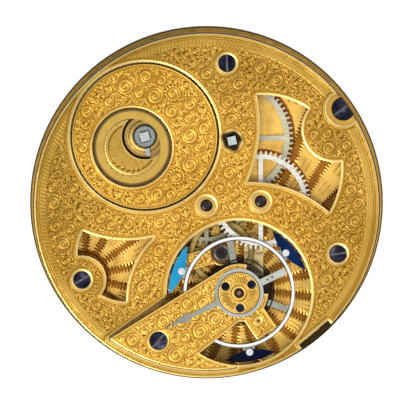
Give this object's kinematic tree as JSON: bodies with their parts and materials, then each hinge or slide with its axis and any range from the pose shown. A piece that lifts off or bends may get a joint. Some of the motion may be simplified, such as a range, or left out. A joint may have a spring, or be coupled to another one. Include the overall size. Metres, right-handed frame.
{
  "type": "pocket watch movement",
  "caption": "Key-wound pocket watch movement with engraved gilt plates, hanging barrel with stop-work, centre-seconds train, duplex escapement and a winged balance under a wedge cock.",
  "frame": {"origin": "centre of the movement on the dial seat, the lower plate's dial-side face", "axes": "+Z along the seconds arbor towards the back of the movement, +Y towards the barrel side, +X towards the train window"},
  "size_m": [0.046, 0.046, 0.0109],
  "materials": {
    "gilt": "mercury gilt, scroll engraved",
    "cock_gilt": "mercury gilt, scroll engraved",
    "plain_brass": "satin",
    "polished_steel": "polished",
    "grey_steel": "grey, hardened",
    "blued_steel": "heat blued",
    "ruby": "polished stone"
  },
  "bodies": {
    "frame": {"lower_plate": "gilt", "pillars": "gilt", "potence": "cock_gilt", "top_plate": "gilt", "plate_screws": "blued_steel", "third_bush": "plain_brass", "seconds_bush": "plain_brass", "click_screw": "blued_steel", "click_spring": "grey_steel", "escape_bridge": "cock_gilt", "escape_bridge_screw": "blued_steel", "escape_jewel": "ruby", "hairspring": "blued_steel", "hairspring_stud": "polished_steel", "balance_cock": "cock_gilt", "cock_screw": "blued_steel", "cock_jewel": "ruby", "cock_endpiece": "cock_gilt", "endpiece_screws": "blued_steel", "cap_stone": "ruby", "lower_balance_jewel": "ruby", "lower_endpiece": "polished_steel", "lower_endpiece_screws": "blued_steel", "minute_stud": "grey_steel"},
    "case_dog": {"case_screw": "blued_steel"},
    "barrel": {"barrel_drum": "plain_brass", "barrel_lid": "gilt", "stop_ring": "plain_brass", "stop_crescent": "gilt", "mainspring": "grey_steel"},
    "winding_arbor": {"barrel_arbor": "grey_steel", "stop_finger": "polished_steel", "ratchet_wheel": "polished_steel", "ratchet_screw": "blued_steel"},
    "click_lever": {"click": "polished_steel"},
    "centre": {"centre_wheel": "polished_steel", "centre_pinion": "polished_steel"},
    "setting": {"setting_arbor": "grey_steel", "driving_pinion": "polished_steel"},
    "third": {"third_wheel": "polished_steel", "third_pinion": "polished_steel"},
    "seconds": {"fourth_wheel": "polished_steel", "seconds_arbor": "polished_steel"},
    "escape": {"escape_wheel": "plain_brass", "escape_pinion": "polished_steel"},
    "balance": {"balance_wheel": "polished_steel", "balance_wings": "blued_steel", "wing_screws": "polished_steel", "balance_staff": "polished_steel", "duplex_roller": "ruby", "impulse_finger": "polished_steel", "hairspring_collet": "plain_brass"},
    "regulator_lever": {"regulator": "grey_steel"},
    "cannon": {"cannon_pinion": "polished_steel"},
    "minute": {"minute_wheel": "plain_brass"},
    "hour": {"hour_wheel": "plain_brass"}
  },
  "joints": [
    {"name": "seconds_spin", "type": "hinge", "parent": "frame", "child": "seconds", "pos_m": [0, 0, 0.004], "axis": [0, 0, 1], "continuous": true},
    {"name": "third_spin", "type": "hinge", "parent": "frame", "child": "third", "pos_m": [0.00708, 0.00054, 0.004], "axis": [0, 0, 1], "continuous": true},
    {"name": "centre_spin", "type": "hinge", "parent": "frame", "child": "centre", "pos_m": [0.00333, 0.0085, 0.004], "axis": [0, 0, 1], "continuous": true},
    {"name": "barrel_spin", "type": "hinge", "parent": "frame", "child": "barrel", "pos_m": [-0.00805, 0.00902, 0.004], "axis": [0, 0, 1], "continuous": true, "deforming": ["mainspring"]},
    {"name": "escape_spin", "type": "hinge", "parent": "frame", "child": "escape", "pos_m": [0.00196, -0.00635, 0.004], "axis": [0, 0, 1], "continuous": true},
    {"name": "hand_setting", "type": "hinge", "parent": "frame", "child": "setting", "pos_m": [0.00333, 0.0085, 0.004], "axis": [0, 0, 1], "continuous": true},
    {"name": "minute_wheel_turn", "type": "hinge", "parent": "frame", "child": "minute", "pos_m": [0.00435, 0.0032, 0.004], "axis": [0, 0, 1], "continuous": true},
    {"name": "cannon_turn", "type": "hinge", "parent": "frame", "child": "cannon", "pos_m": [0, 0, 0.004], "axis": [0, 0, 1], "continuous": true},
    {"name": "hour_turn", "type": "hinge", "parent": "frame", "child": "hour", "pos_m": [0, 0, 0.004], "axis": [0, 0, 1], "continuous": true},
    {"name": "winding_turn", "type": "hinge", "parent": "frame", "child": "winding_arbor", "pos_m": [-0.00805, 0.00902, 0.004], "axis": [0, 0, 1], "continuous": true},
    {"name": "click_lift", "type": "hinge", "parent": "frame", "child": "click_lever", "pos_m": [-0.00969, 0.00451, 0.004], "axis": [0, 0, 1], "range_deg": [0, 8], "stiffness_Nm_per_rad": 0.00001, "deforming": ["click_spring"]},
    {"name": "balance_swing", "type": "hinge", "parent": "frame", "child": "balance", "pos_m": [0.00425, -0.0114, 0.004], "axis": [0, 0, 1], "range_deg": [-150, 150], "stiffness_Nm_per_rad": 0.0000013, "deforming": ["hairspring"]},
    {"name": "regulator_turn", "type": "hinge", "parent": "frame", "child": "regulator_lever", "pos_m": [0.00425, -0.0114, 0.004], "axis": [0, 0, 1], "range_deg": [-18, 18]},
    {"name": "case_screw_turn", "type": "hinge", "parent": "frame", "child": "case_dog", "pos_m": [0.01783, 0.01263, 0.004], "axis": [0, 0, 1], "range_deg": [0, 180]}
  ],
  "couplings": [
    {"joint": "third_spin", "follows": "seconds_spin", "ratio": -0.13333},
    {"joint": "centre_spin", "follows": "seconds_spin", "ratio": 0.016667},
    {"joint": "barrel_spin", "follows": "seconds_spin", "ratio": -0.0020833},
    {"joint": "escape_spin", "follows": "seconds_spin", "ratio": -4},
    {"joint": "minute_wheel_turn", "follows": "hand_setting", "ratio": -0.5},
    {"joint": "cannon_turn", "follows": "hand_setting", "ratio": 1},
    {"joint": "hour_turn", "follows": "hand_setting", "ratio": 0.083333}
  ]
}
